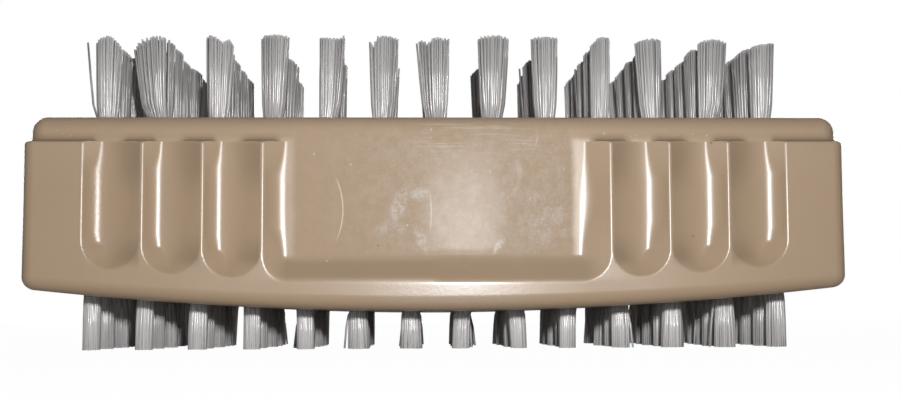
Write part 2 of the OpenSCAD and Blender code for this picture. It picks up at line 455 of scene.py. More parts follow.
@dataclass(frozen=True)
class MouldedPlastic:
    """Glossy tan plastic. The recess is matt under a thin film of gloss, with scuffs and fine scratches.

    A pair gives the values where a mask is 0 and 1. Middles, starts and pitches are millimetres along the
    brush, and the other numbers are strengths of what they name. The colour also carries painted light: a
    painted sheen and reflection of the key lamp on the recess, painted sparkle on the dome's edge, and painted
    shade in the recess' lower corner and on the flutes' inner walls.
    """

    colour: Triple = (0.385, 0.277, 0.184)
    # tint of the smudges, and of the painted sheen, reflection and sparkle of the key lamp
    haze_and_sheen: Triple = (0.62, 0.60, 0.58)
    # tint of the pale lines, scratches and dusty specks, and of the painted sparkle on the dome's edge
    dust_and_sparkle_tint: Triple = (0.80, 0.74, 0.68)
    dirt: Triple = (0.10, 0.07, 0.05)
    broad: Grain = Grain(0.09)
    fine: Grain = Grain(0.8, 5.0, 0.6)
    speck: Grain = Grain(2.6, 4.0, 0.7)
    side_y: Pair = (20.0, 20.7)
    front_y: Pair = (-20.0, -20.7)
    broad_sway: float = 3.0
    fine_sway: float = 2.0
    # gloss and wear
    gloss: float = 0.3
    gloss_rise: float = 0.05
    gloss_rise_z: Pair = (18.5, 22.5)
    gloss_fine: float = 0.03
    glossy_ior: float = 1.58
    rim_worn: float = 0.55
    lip_worn: float = 0.9
    lip_z: Span = Span(24.1, 24.8, 26.6, 27.1)
    worn_middle: float = -0.4
    worn_sway: float = 0.2
    worn_x: Pair = (16.9, 15.8)
    worn_z: Pair = (9.0, 10.3)
    shine_rough: float = 0.15
    matt: float = 0.8
    matt_ior: float = 1.5
    film: float = 0.06
    film_plain: float = 0.3
    film_patch: float = 0.42
    film_smoke: float = 0.8
    film_rough: float = 0.2
    # the dome's edge, and the recess' lower corner, whose colour is darkened as painted shade
    rim: Strip = Strip(Span(4.9, 5.6, 7.4, 8.0), (13.0, 1.0), 2.4, 1.0)
    band: Strip = Strip(Span(4.9, 5.6, 7.6, 8.6), (26.0, 17.0))
    corner: Strip = Strip(Span(7.5, 8.5, 9.6, 11.2), (19.2, 17.0))
    # painted shade: how much darker the recess' lower corner is made
    corner_painted_shade: float = 0.14
    # painted shade on the flutes' inner walls
    fold_start: float = 20.1
    fold_pitch: float = 6.85
    fold_share: Span = Span(0.0, 0.05, 0.06, 0.6)
    fold_x: Span = Span(20.1, 20.4, 40.3, 40.6)
    fold_upper_z: Span = Span(17.0, 22.0, 23.6, 24.5)
    fold_lower_z: Span = Span(9.2, 10.6, 10.5, 14.0)
    fold_painted_shade: float = 0.24
    # tone; smudges, stains and dusty specks; painted sheen, reflection and sparkle of the key lamp
    tone: float = 0.95
    broad_tone: float = 0.07
    fine_tone: float = 0.03
    worn_dark: float = 0.03
    # painted sheen: a pale tint where the broad reflection of the key lamp falls on the recess
    painted_sheen: Strip = Strip(Span(10.0, 12.5, 24.0, 27.5), (28.0, 4.0), 5.0, 1.5)
    painted_sheen_edge: Pair = (18.5, 14.0)
    painted_sheen_fine: Pair = (0.3, 0.75)
    painted_sheen_share: float = 0.16
    # painted reflection of the key lamp in the middle of the recess
    lamp_reflection: PaintedLampReflection = PaintedLampReflection()
    lamp_reflection_share: float = 0.12
    # dusty specks, pale only inside the painted sheen, where they are partly painted sparkle of the key lamp
    sheen_dust_specks: Grain = Grain(4.2, 3.0, 0.7, step=(0.5, 0.72))
    sheen_dust_share: float = 0.18
    smoke_speck: float = 0.75
    smoke_fine: float = 0.25
    smoke_step: Pair = (0.38, 0.66)
    smoke_haze: float = 0.75
    # painted sparkle of the key lamp's highlight on the dome's edge
    rim_painted_sparkle: float = 0.2
    # dusty specks on the worn surfaces; on the dome's edge they are painted sparkle of the key lamp's highlight
    grit_and_sparkle: Grain = Grain(1.7, 2.0, 0.5, step=(0.735, 0.76))
    grit_and_sparkle_share: float = 0.3
    stain: Grain = Grain(0.55, 1.0, 0.4, step=(0.815, 0.83))
    stain_dirt: float = 0.6
    # scratches below the lip
    drag: Grain = Grain(1.0, 4.0, 0.65, (0.12, 1.0, 3.8), (0.5, 0.68))
    drag_strip: Strip = Strip(Span(21.8, 23.8, 26.0, 26.6), (9.0, 4.0), 4.5, 1.0)
    drag_dust: float = 0.22
    # relief
    relief_depth: float = 0.06
    relief_broad: float = 0.5
    relief_fine: float = 0.14
    relief_speck: float = 0.04
    relief_rim: float = 0.45
    relief_flute: float = 0.35
    relief_high: float = 0.08
    flute_x: float = -39.3
    flute_edge: Pair = (1.6, 0.8)
    flute_z: Pair = (25.0, 23.0)
    high_z: Pair = (18.0, 23.0)
    arcs: tuple[Arc, ...] = (
        Arc(-19.8, 16.2, 8.9, 12.2, 20.6, 0.1, 0.5),
        Arc(-17.3, 15.9, 16.6, 13.0, 18.8, 0.09, 0.45),
        Arc(8.9, 24.9, 2.8, 22.6, 26.4, 0.12, 0.16),
        Arc(12.5, 20.6, 1.7, 18.8, 21.8, 0.1, 0.12),
        Arc(5.0, 20.5, 4.6, 17.0, 22.6, 0.45, 0.12),
    )
    smudges: tuple[Smudge, ...] = (
        Smudge(-4.4, 16.9, 1.1, 2.4, 0.28, 0.75),
        Smudge(-2.0, 18.0, 1.3, 1.1, 0.0, 0.6),
        Smudge(-1.9, 12.9, 0.9, 2.0, -0.35, 0.65),
        Smudge(-5.5, 14.0, 2.2, 1.2, 0.2, 0.35),
        Smudge(7.1, 12.0, 0.6, 1.2, 0.6, 0.7),
        Smudge(8.0, 17.5, 1.2, 4.0, 0.1, 0.25),
        Smudge(12.5, 15.5, 4.0, 4.2, 0.0, 0.3),
    )

    def smoke(self, at: Site) -> Wire:
        """Mask of the smudges, broken up by specks."""
        grain = at.s.smooth(at.speck * self.smoke_speck + at.fine * self.smoke_fine, *self.smoke_step)
        return grain * sum(smudge.mask(at) for smudge in self.smudges) * at.front

    def scratches(self, at: Site, place: Wire) -> Wire:
        """Mask of the arcs and of the fine scratches below the lip."""
        arcs = sum(arc.mask(at) for arc in self.arcs) * (0.5 + at.fine) * at.front
        return arcs + at.s.noise(place, self.drag) * self.drag_strip.mask(at) * self.drag_dust

    def fold(self, at: Site) -> Wire:
        """Mask of the painted shade on the flutes' inner walls, near their upper and lower ends.

        Args:
            at: what masks read.

        Returns:
            The mask.
        """
        s, across = at.s, abs(at.x)
        share = s.within(s.maths("FRACT", (across - self.fold_start) / self.fold_pitch), self.fold_share)
        ends = s.within(at.z, self.fold_upper_z) + s.within(at.z, self.fold_lower_z)
        return share * at.side * s.within(across, self.fold_x) * ends

    def wear(self, at: Site, band: Wire) -> Wire:
        """Share of the matt surface: the recess, the dome's edge and the lip.

        Args:
            at: what masks read.
            band: mask of the dome's edge.

        Returns:
            The share.
        """
        s = at.s
        across = abs(at.x - self.worn_middle) + at.sway * self.worn_sway
        recess = s.smooth(across, *self.worn_x) * at.side * s.smooth(at.z, *self.worn_z)
        lip = s.within(at.z, self.lip_z) * at.side * self.lip_worn
        return s.maths("MAXIMUM", s.maths("MAXIMUM", recess, band * self.rim_worn), lip)

    def relief(self, at: Site, broad: Wire, rim: Wire) -> Wire:
        """The normal of the fine relief.

        Args:
            at: what masks read.
            broad: the slowest noise.
            rim: mask of the dome's highlight.

        Returns:
            The normal.
        """
        s = at.s
        flute = s.smooth(abs(at.x - self.flute_x), *self.flute_edge) * s.smooth(at.z, *self.flute_z) * at.front
        high = s.smooth(at.z, *self.high_z) * self.relief_high
        speck = at.speck * (self.relief_speck + rim * self.relief_rim + flute * self.relief_flute + high)
        return s.bump(broad * self.relief_broad + at.fine * self.relief_fine + speck, self.relief_depth)

    def build(self) -> bpy.types.Material:
        """Builds the material.

        Returns:
            The material.
        """
        s = Shader("moulded_plastic")
        place = s.place()
        x, y, z = s.parts(place)
        broad, fine, speck = (s.noise(place, grain) for grain in (self.broad, self.fine, self.speck))
        sway = (broad - 0.5) * self.broad_sway + (fine - 0.5) * self.fine_sway
        at = Site(s, x, z, fine, speck, s.smooth(abs(y), *self.side_y), s.smooth(y, *self.front_y), sway)
        rim, band, corner = self.rim.mask(at), self.band.mask(at), self.corner.mask(at)
        # mask of the painted sheen of the key lamp
        painted_sheen = self.painted_sheen.mask(at) * s.smooth(abs(x), *self.painted_sheen_edge)
        lamp_reflection, smoke, worn = self.lamp_reflection.mask(at), self.smoke(at), self.wear(at, band)
        grit_and_sparkle = s.noise(place, self.grit_and_sparkle) * (worn + rim)
        sheen_dust_specks = s.noise(place, self.sheen_dust_specks) * painted_sheen
        light = self.tone + broad * self.broad_tone + fine * self.fine_tone
        # painted shade in the recess' lower corner and on the flutes' inner walls, and a slightly darker worn surface
        dark = corner * self.corner_painted_shade + self.fold(at) * self.fold_painted_shade + worn * self.worn_dark
        # pale tint: real smudges, plus painted sheen, reflection and sparkle of the key lamp
        haze_and_sheen_share = painted_sheen * (s.smooth(fine, *self.painted_sheen_fine) * self.painted_sheen_share) + lamp_reflection * (fine * self.lamp_reflection_share)
        haze_and_sheen_share = haze_and_sheen_share + sheen_dust_specks * self.sheen_dust_share + smoke * self.smoke_haze + rim * speck * self.rim_painted_sparkle
        colour = s.cover(haze_and_sheen_share, s.scale(self.colour, light - dark), self.haze_and_sheen)
        # pale lines, scratches and dusty specks, with painted sparkle where the specks lie on the dome's edge
        colour = s.cover(self.scratches(at, place) + grit_and_sparkle * self.grit_and_sparkle_share, colour, self.dust_and_sparkle_tint)
        colour = s.cover(s.noise(place, self.stain) * self.stain_dirt, colour, self.dirt)
        normal = self.relief(at, broad, rim)
        rise = s.smooth(z, *self.gloss_rise_z) * self.gloss_rise
        gloss = self.gloss + rise + (fine - 0.5) * self.gloss_fine
        coat = {"Coat_Weight": rim, "Coat_Roughness": self.shine_rough}
        glossy = s.principled(colour, gloss, normal, IOR=self.glossy_ior, **coat)
        film = self.film * (self.film_plain + lamp_reflection * self.film_patch + smoke * self.film_smoke) * (1.0 - band)
        coat = {"Coat_Weight": film, "Coat_Roughness": self.film_rough}
        matt = s.principled(colour, self.matt, normal, IOR=self.matt_ior, **coat)
        return s.finish(s.add("ShaderNodeMixShader", inputs={0: worn, 1: glossy, 2: matt}))


@dataclass(frozen=True)
class NylonFilament:
    """Clear-grey nylon, each filament in its own tone, paler at its cut tip, with painted glints near the roots."""

    dark: Triple = (0.25, 0.24, 0.235)
    pale: Triple = (0.60, 0.585, 0.58)
    tip: Triple = (0.66, 0.66, 0.66)
    # painted glints: a pale colour on streaks near the roots
    painted_glint: Triple = (0.86, 0.85, 0.84)
    streak: Grain = Grain(1.0, 3.0, stretch=(5.0, 5.0, 0.35))
    glint: Grain = Grain(1.0, 2.0, stretch=(2.6, 2.6, 0.12))
    tone_share: float = 0.7
    streak_share: float = 0.3
    tip_share: float = 0.5
    tip_along: Pair = (0.955, 0.995)
    painted_glint_share: float = 0.75
    painted_glint_step: Pair = (0.58, 0.68)
    painted_glint_along: Pair = (0.75, 0.2)
    own_normal: float = 1.1
    tilt_x: float = 0.3
    tilt_z: float = 0.5
    gloss: float = 0.14
    gloss_streak: float = 0.16
    ior: float = 1.53

    def build(self) -> bpy.types.Material:
        """Builds the material.

        Returns:
            The material.
        """
        s = Shader("nylon_filament")
        tone, along, place = s.attribute("tone"), s.attribute("along"), s.place()
        streak, glint = s.noise(place, self.streak), s.noise(place, self.glint)
        grey = tone * self.tone_share + streak * self.streak_share
        colour = s.mix(Mixed.COLOUR, grey, (*self.dark, 1.0), (*self.pale, 1.0))
        colour = s.cover(s.smooth(along, *self.tip_along) * self.tip_share, colour, self.tip)
        # painted glints near the roots
        painted_glint = s.smooth(glint, *self.painted_glint_step) * s.smooth(along, *self.painted_glint_along)
        colour = s.cover(painted_glint * self.painted_glint_share, colour, self.painted_glint)
        own = s.vector_maths("MULTIPLY", s.add("ShaderNodeNewGeometry", output="Normal"), (self.own_normal,) * 3)
        tilt = s.vector((streak - 0.5) * self.tilt_x, 0.0, (glint - 0.5) * self.tilt_z)
        facing = s.vector_maths("ADD", own, s.attribute("facing", "Vector"))
        normal = s.vector_maths("NORMALIZE", s.vector_maths("ADD", facing, tilt))
        return s.finish(s.principled(colour, self.gloss + streak * self.gloss_streak, normal, IOR=self.ior))


@dataclass(frozen=True)
class BrassWire:
    """Drawn brass wire with fine lengthwise lines and a little tarnish."""

    bright: Triple = (0.78, 0.57, 0.26)
    tarnish: Triple = (0.36, 0.24, 0.11)
    drawn: Grain = Grain(1.0, 4.0, stretch=(0.4, 9.0, 9.0))
    drawn_share: float = 0.15
    drawn_rough: float = 0.08
    drawn_depth: float = 0.01
    stain: Grain = Grain(0.9, 4.0, step=(0.48, 0.68))
    stain_share: float = 0.6
    stain_rough: float = 0.25
    gloss: float = 0.24

    def build(self) -> bpy.types.Material:
        """Builds the material.

        Returns:
            The material.
        """
        s = Shader("brass_wire")
        place = s.place()
        drawn, stain = s.noise(place, self.drawn), s.noise(place, self.stain)
        tarnish = stain * self.stain_share + drawn * self.drawn_share
        colour = s.mix(Mixed.COLOUR, tarnish, (*self.bright, 1.0), (*self.tarnish, 1.0))
        rough = self.gloss + stain * self.stain_rough + drawn * self.drawn_rough
        return s.finish(s.principled(colour, rough, s.bump(drawn, self.drawn_depth), Metallic=1.0))


@dataclass(frozen=True)
class PaleFloor:
    """A pale sheet that is white to the camera and keeps the brush's shadow faintly."""

    colour: Triple = (0.4, 0.4, 0.4)
    white: float = 0.98
    grain: Grain = Grain(0.02, 2.0)
    tone: float = 0.98
    grain_tone: float = 0.04

    def build(self) -> bpy.types.Material:
        """Builds the material.

        Returns:
            The material.
        """
        s = Shader("pale_floor")
        tone = self.tone + s.noise(s.place(), self.grain) * self.grain_tone
        sheet = s.add("ShaderNodeBsdfDiffuse", inputs={"Color": s.scale(self.colour, tone)})
        white = s.add("ShaderNodeEmission", inputs={"Color": WHITE, "Strength": 1.0})
        return s.finish(s.add("ShaderNodeMixShader", inputs={0: s.white_share() * self.white, 1: sheet, 2: white}))


# ---------------------------------------------------------------- helpers


def part_object(name: str, data: bpy.types.ID) -> bpy.types.Object:
    """Puts a mesh, a lamp or a camera into the scene at the origin.

    Args:
        name: the object's name.
        data: what it shows, in metres.

    Returns:
        The object.
    """
    piece = bpy.data.objects.new(name, data)
    bpy.context.scene.collection.objects.link(piece)
    return piece


def unit(vectors: Array) -> Array:
    """Vectors along the last axis, with their lengths made 1."""
    return vectors / np.maximum(np.linalg.norm(vectors, axis=-1, keepdims=True), TINY**2)


def smooth_step(value: Array, low: float, high: float) -> Array:
    """A smooth step from 0 at low to 1 at high."""
    share = np.clip((value - low) / (high - low), 0.0, 1.0)
    return share * share * (3.0 - 2.0 * share)


def quarter(steps: int, first: int = 0) -> list[Pair]:
    """Sine and cosine at each of the equal steps of a quarter turn, from the first one wanted."""
    return [(math.sin(turn), math.cos(turn)) for turn in np.radians(np.linspace(0, 90, steps + 1)[first:])]


# ---------------------------------------------------------------- handle


@dataclass(frozen=True)
class Belly:
    """The domed underside."""

    half_length: float = 47.5
    low: float = 4.5
    rise: float = 2.7

    @property
    def radius(self) -> float:
        """Radius of the dome."""
        return (self.half_length**2 + self.rise**2) / (2 * self.rise)

    def height(self, x: Any) -> Any:
        """Height of the underside above the lower tips, at places along the brush."""
        return self.low + self.radius - np.sqrt(self.radius**2 - np.square(x))

    def normal(self, x: Array) -> Array:
        """Downward normals of the underside at places along the brush."""
        tilt = np.asarray(x, float) / self.radius
        return np.stack([tilt, np.zeros_like(tilt), -np.sqrt(1 - tilt**2)], axis=-1)


@dataclass(frozen=True)
class Flank:
    """One side of a groove: a round hollow, a straight wall and a round ridge, each tangent to the next.

    The hollow's radii are given at the heights of the grips.
    """

    hollows: tuple[float, ...]
    ridge: float
    spare: float = 0.01

    def depth(self, away: Array, half: Array, deep: Array, hollow: Array, more: Any = 0.0) -> Array:
        """Depth of the groove.

        Args:
            away: distance from the groove's lowest line.
            half: distance from the lowest line to the ridge.
            deep: full depth of the groove.
            hollow: radius of the hollow.
            more: what is added to the ridge's radius.

        Returns:
            The depth there.
        """
        ridge = self.ridge + more
        hollow = np.minimum(hollow, (half**2 + deep**2) / (2 * deep) - ridge - self.spare)
        apart = np.hypot(half, hollow + ridge - deep)
        turn = np.arctan2(half, hollow + ridge - deep) - np.arccos(np.minimum((hollow + ridge) / apart, 1.0))
        away = np.minimum(away, half)
        inner = deep - hollow + np.sqrt(np.maximum(hollow**2 - away**2, 0.0))
        wall = deep - hollow * (1 - np.cos(turn)) - (away - hollow * np.sin(turn)) * np.tan(turn)
        outer = ridge - np.sqrt(np.maximum(ridge**2 - (half - away) ** 2, 0.0))
        beyond = np.where(away < half - ridge * np.sin(turn), wall, outer)
        return np.where(away < hollow * np.sin(turn), inner, beyond)


@dataclass(frozen=True)
class Grips:
    """The flutes and the recess of a long side, as a depth below the side's surface.

    The lowest line of a flute lies a little outside its middle, so the wall towards the recess is the wider
    one. At the lip the floors of the grips are flush with it. Floors, walls and hollows are given at heights;
    walls and lowest lines differ between the left and the right half.
    """

    half_pitch: float = 3.425
    recess_half: float = 20.1
    rim: float = 3.1
    heights: tuple[float, ...] = (7.5, 10.0, 12.5, 16.5, 19.0, 21.5, 24.2)
    floors: tuple[float, ...] = (1.15, 1.18, 1.22, 1.24, 1.24, 1.2, 1.1)
    left_walls: tuple[float, ...] = (2.85, 2.85, 2.8, 2.7, 2.7, 2.75, 2.8)
    right_walls: tuple[float, ...] = (3.6, 3.65, 3.65, 3.65, 3.5, 3.2, 3.0)
    left_lows: Triple = (1.2, 1.17, 1.08)
    right_lows: Triple = (0.68, 0.81, 0.93)
    outer: Flank = Flank((0.9, 1.0, 1.7, 4.4, 3.9, 1.7, 0.7), 0.45)
    inner: Flank = Flank((5.0, 6.0, 7.0, 8.0, 8.0, 7.0, 6.0), 0.6)
    recess: Flank = Flank((1.2, 1.3, 2.0, 4.9, 4.2, 1.9, 0.9), 0.5)
    rim_ridge: float = 1.3
    rounding: float = 1.5
    samples: int = 7
    flank_share: float = 0.6

    def at(self, z: Array, table: Sequence[float]) -> Array:
        """Values of a table at heights, rounded off where its pieces meet."""
        near = np.linspace(-self.rounding, self.rounding, self.samples)
        return np.mean([np.interp(z + shift, self.heights, table) for shift in near], axis=0)

    def flute(self, across: Array, below: Array, z: Array, low: Array) -> Array:
        """Depth of one flute.

        Args:
            across: distance outwards from the flute's middle.
            below: distance below the middle of its round end, or zero.
            z: heights.
            low: distance outwards of the lowest line from the middle.

        Returns:
            The depth at each place.
        """
        deep = self.at(z, self.floors)
        from_low = across - low
        away = np.maximum(np.hypot(from_low, below), TINY)
        half = np.sqrt(self.half_pitch**2 - (low * below / away) ** 2) - low * from_low / away
        outer, inner = (
            flank.depth(away, half, deep, self.at(z, flank.hollows)) for flank in (self.outer, self.inner)
        )
        share = smooth_step(from_low / away, -self.flank_share, self.flank_share)
        return outer * share + inner * (1 - share)

    def depth(self, x: Array, z: Array, belly: Belly) -> Array:
        """Depth of the grips below the side's surface.

        Args:
            x: places along the brush.
            z: heights.
            belly: the underside that the grips' lower ends follow.

        Returns:
            The depth at each place.
        """
        left = x < 0
        wall = np.where(left, self.at(z, self.left_walls), self.at(z, self.right_walls))
        below = np.maximum(belly.height(0.0) + self.rim + self.half_pitch - z, 0.0) * wall / self.half_pitch
        across = np.maximum(np.abs(x) - (self.recess_half - wall), 0.0)
        away = np.hypot(across, below)
        more = (below / np.maximum(away, TINY)) ** 4 * self.rim_ridge
        depth = self.recess.depth(away, wall, self.at(z, self.floors), self.at(z, self.recess.hollows), more)
        for flute, lows in enumerate(zip(self.left_lows, self.right_lows)):
            middle = self.recess_half + self.half_pitch * (2 * flute + 1)
            below = np.maximum(belly.height(middle) + self.rim + self.half_pitch - z, 0.0)
            depth = np.maximum(depth, self.flute(np.abs(x) - middle, below, z, np.where(left, *lows)))
        return depth


@dataclass(frozen=True)
class Outline:
    """A rounded rectangle in plan, with its counts of segments and how far its long sides match the body's."""

    half_x: float
    half_y: float
    corner: float
    ends: int = 18
    turns: int = 8
    matched: float = 40.0

    def loop(self, along: Array, body: "Outline") -> tuple[Array, Array]:
        """Points round the outline, which match point for point those of the body's outline.

        Args:
            along: places along a long side of the body.
            body: the outline whose long side the places are on.

        Returns:
            The points and their outward normals, as (x, y) rows.
        """
        stop, full = self.half_x - self.corner, body.half_x - body.corner
        spare = np.maximum(np.abs(along) - self.matched, 0.0) * (stop - self.matched) / (full - self.matched)
        side = (np.sign(along) * (np.minimum(np.abs(along), self.matched) + spare))[1:-1]
        short = np.linspace(-1, 1, self.ends + 1)[1:-1] * (self.half_y - self.corner)
        long_y, short_x = np.full_like(side, self.half_y), np.full_like(short, self.half_x)
        straights = ((side, -long_y), (short_x, short), (-side, long_y), (-short_x, -short))
        points, normals = [], []
        for turn, straight in enumerate(straights):
            angles = np.radians(90 * turn - 90 + np.linspace(0, 90, self.turns + 1))
            around = np.stack([np.cos(angles), np.sin(angles)], axis=-1)
            facing = np.array([(0, -1), (1, 0), (0, 1), (-1, 0)][turn], float)
            towards = np.array([(1, -1), (1, 1), (-1, 1), (-1, -1)][turn])
            middle = towards * np.array([stop, self.half_y - self.corner])
            points += [np.stack(straight, axis=-1), middle + self.corner * around]
            normals += [np.tile(facing, (len(straight[0]), 1)), around]
        return np.concatenate(points), np.concatenate(normals)


@dataclass
class HandleBlock:
    """The moulded block: domed underside, finger grips, lip and the bores of the tufts."""

    half_length: float = 47.5
    half_width: float = 22.0
    corner: float = 1.5
    foot_corner: float = 0.5
    side_edge: float = 1.8
    end_edge: float = 1.4
    step_z: float = 24.1
    step_edge: float = 0.35
    step_soft: float = 0.08
    draft: float = 0.05
    end_setback: float = 0.5
    side_setback: float = 1.1
    lip_corner: float = 1.85
    lip_edge: float = 1.8
    top_z: float = 27.2
    crease: float = 0.45
    crease_share: float = 0.9
    crease_rise: float = 1.1
    ledge_rise: float = 0.01
    ledge_fade: Pair = (0.1, 0.6)
    bore_r: float = 1.15
    bore_rim: float = 0.18
    bore_depth: float = 7.0
    bore_sides: int = 20
    edge_steps: int = 10
    step_steps: int = 6
    curve_x: Pair = (16.4, 41.3)
    curve_columns: int = 125
    end_columns: int = 8
    middle_columns: int = 33
    dense_share: float = 0.36
    dense_rows: int = 28
    wall_rows: int = 33
    belly: Belly = field(default_factory=Belly)
    grips: Grips = field(default_factory=Grips)

    @property
    def brow_z(self) -> float:
        """Height at which the rounded edge below the lip starts."""
        return self.step_z - self.step_edge

    def columns(self) -> Array:
        """Places along a long side, closer together where the grips curve.

        Returns:
            The places, from the left to the right.
        """
        limit, (near, far) = self.half_length - self.corner, self.curve_x
        stops = (-limit, -far, -near, near, far, limit)
        counts = (self.end_columns, self.curve_columns, self.middle_columns, self.curve_columns, self.end_columns)
        parts = [np.linspace(*ends, count + 1)[:-1] for *ends, count in zip(stops, stops[1:], counts)]
        return np.append(np.concatenate(parts), limit)

    def build(self, finish: bpy.types.Material) -> bpy.types.Object:
        """Builds the block.

        Args:
            finish: its material.

        Returns:
            The block's object.
        """
        skin = Skin(self)
        shell = Shell(self, skin)
        shell.cap(TuftLayout.upper(), len(shell.points) - skin.count)
        shell.cap(TuftLayout.lower(), 0)
        mesh = bpy.data.meshes.new("handle_block_skin")
        mesh.from_pydata((shell.points * MM).tolist(), [], shell.faces)
        mesh.shade_smooth()
        mesh.normals_split_custom_set(np.concatenate(shell.normals).tolist())
        mesh.materials.append(finish)
        return part_object("moulded_block", mesh)


class Skin:
    """The skin of the block in rows, from the underside's loop up to the top's."""

    def __init__(self, block: HandleBlock) -> None:
        """Lays out the loops and builds the rows.

        Args:
            block: the block's sizes.
        """
        self.block = block
        body = Outline(block.half_length, block.half_width, block.corner)
        foot = Outline(block.half_length - block.end_edge, block.half_width - block.side_edge, block.foot_corner)
        lip = Outline(block.half_length - block.end_setback, block.half_width - block.side_setback, block.lip_corner)
        top = Outline(lip.half_x - block.lip_edge, lip.half_y - block.lip_edge, lip.corner - block.lip_edge)
        along = block.columns()
        (self.outer, self.facing), (self.inner, _), (self.wall, lip_facing), (self.crown, _) = (
            outline.loop(along, body) for outline in (body, foot, lip, top)
        )
        self.count = len(self.outer)
        self.up = np.tile([0.0, 0.0, 1.0], (self.count, 1))
        self.flat = np.column_stack([self.facing, np.zeros(self.count)])
        self.lip_flat = np.column_stack([lip_facing, np.zeros(self.count)])
        long_side = np.abs(self.facing[:, 1])
        self.gripped = long_side > 1 - TINY
        self.base = block.belly.height(self.inner[:, 0])
        self.lift = block.end_edge + (block.side_edge - block.end_edge) * long_side
        self.setback = block.end_setback + (block.side_setback - block.end_setback) * long_side
        self.groove = self.inset(self.outer[:, 0], np.full(self.count, block.step_z))
        self.ledge = smooth_step(self.setback - self.groove, *block.ledge_fade)[:, None]
        self.points: list[Array] = []
        self.normals: list[Array] = []
        for part in (self.foot, self.walls, self.brow, self.step, self.lip):
            part()

    def keep(self, plan: Array, z: Any, normal: Array) -> None:
        """Adds one row."""
        self.points.append(np.column_stack([plan, np.broadcast_to(z, (self.count,))]))
        self.normals.append(unit(normal))

    def inset(self, x: Array, z: Array) -> Array:
        """Distance of the wall in from the outline, from the draft and the grips.

        Args:
            x: places along the brush.
            z: heights.

        Returns:
            The distance at each place.
        """
        block = self.block
        lean = block.draft * np.clip((z - self.base) / (block.brow_z - self.base), 0.0, 1.0)
        depth = block.grips.depth(x, z, block.belly)
        return lean + np.where(self.gripped, depth * (1 - lean / block.side_setback), 0.0)

    def slope(self, z: Array, step: float = 0.01) -> Array:
        """Normals of the wall.

        Args:
            z: heights.
            step: how far to each side its inset is read.

        Returns:
            The normals.
        """
        x = self.outer[:, 0]
        by_x = (self.inset(x + step, z) - self.inset(x - step, z)) / (2 * step)
        by_z = (self.inset(x, z + step) - self.inset(x, z - step)) / (2 * step)
        return unit(self.flat + np.stack([np.where(self.gripped, by_x, 0.0), np.zeros(self.count), by_z], axis=-1))

    def foot(self) -> None:
        """The rounded edge of the underside."""
        down = self.block.belly.normal(self.inner[:, 0])
        for sine, cosine in quarter(self.block.edge_steps):
            plan = self.inner + (self.outer - self.inner) * sine
            self.keep(plan, self.base + self.lift * (1 - cosine), sine * self.flat + cosine * down)

    def walls(self) -> None:
        """The walls with their grips, in closer rows where the grips end below."""
        block, low = self.block, self.base + self.lift
        dense = np.linspace(0, block.dense_share, block.dense_rows + 1)[1:]
        for share in [*dense, *np.linspace(block.dense_share, 1, block.wall_rows + 1)[1:]]:
            z = low + (block.brow_z - low) * share
            self.keep(self.outer - self.facing * self.inset(self.outer[:, 0], z)[:, None], z, self.slope(z))

    def brow(self) -> None:
        """The rounded edge below the lip, which gives way softly to the grips."""
        block, soft = self.block, self.block.step_soft
        for sine, cosine in quarter(block.step_steps, 1):
            z = np.full(self.count, block.brow_z + block.step_edge * sine)
            edge = block.draft + block.step_edge * (1 - cosine)
            groove = self.inset(self.outer[:, 0], z)
            near = np.maximum(soft - np.abs(groove - edge), 0.0) / soft
            inset = np.maximum(groove, edge) + near**2 * soft / 4
            share = np.where(edge > groove, 1 - near / 2, near / 2)[:, None] * self.ledge
            normal = (cosine * self.flat + sine * self.up) * share + self.slope(z) * (1 - share)
            self.keep(self.outer - self.facing * inset[:, None], z, normal)

    def step(self) -> None:
        """The ledge before the lip and the hollow between them, faded where a grip takes the ledge away."""
        block = self.block
        first = block.draft + block.step_edge
        brow = self.outer - self.facing * np.clip(self.groove, first, self.setback)[:, None]
        crease = np.minimum(block.crease, block.crease_share * (self.setback - first))
        level = self.setback - crease - first
        rows = [(share * level, block.ledge_rise * share, 0.0, 1.0) for share in HALVES]
        for sine, cosine in quarter(block.step_steps, 1):
            rows.append((level + crease * sine, block.ledge_rise + block.crease_rise * (1 - cosine), sine, cosine))
        for reach, rise, sine, cosine in rows:
            plan = brow + (self.wall - brow) * (reach / (self.setback - first))[:, None]
            normal = unit(cosine * self.up + sine * self.lip_flat)
            self.keep(plan, block.step_z + rise, normal * self.ledge + self.lip_flat * (1 - self.ledge))

    def lip(self) -> None:
        """The lip's face and its rounded upper edge."""
        block = self.block
        start = block.step_z + block.ledge_rise + block.crease_rise
        stop = block.top_z - block.lip_edge
        for share in HALVES:
            self.keep(self.wall, start + (stop - start) * share, self.lip_flat)
        for sine, cosine in quarter(block.edge_steps, 1):
            plan = self.wall + (self.crown - self.wall) * (1 - cosine)
            self.keep(plan, stop + block.lip_edge * sine, cosine * self.lip_flat + sine * self.up)


